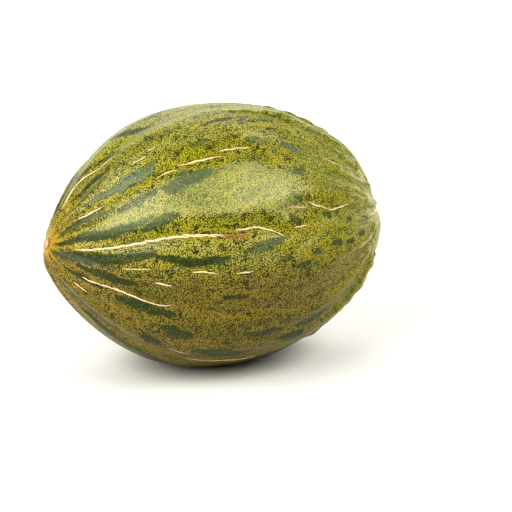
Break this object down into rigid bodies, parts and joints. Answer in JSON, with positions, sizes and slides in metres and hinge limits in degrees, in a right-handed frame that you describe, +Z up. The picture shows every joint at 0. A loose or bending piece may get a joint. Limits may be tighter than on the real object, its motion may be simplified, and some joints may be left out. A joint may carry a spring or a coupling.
{
  "type": "piel de sapo melon",
  "caption": "Whole green speckled melon lying on its side, with a wrinkled stem end, raised cork cracks and a small flat resting spot.",
  "frame": {"origin": "on the surface that the melon rests on, under the middle of its bounding box", "axes": "+X along the fruit from the blossom end to the stem end, +Z up, -Y the side that faces the viewer"},
  "size_m": [0.2504, 0.1854, 0.1827],
  "materials": {
    "melon_rind": "waxy satin rind, dark green with dense olive-yellow speckle, dark blotches and cream cork cracks"
  },
  "bodies": {
    "root": {"melon": "melon_rind"}
  },
  "joints": []
}
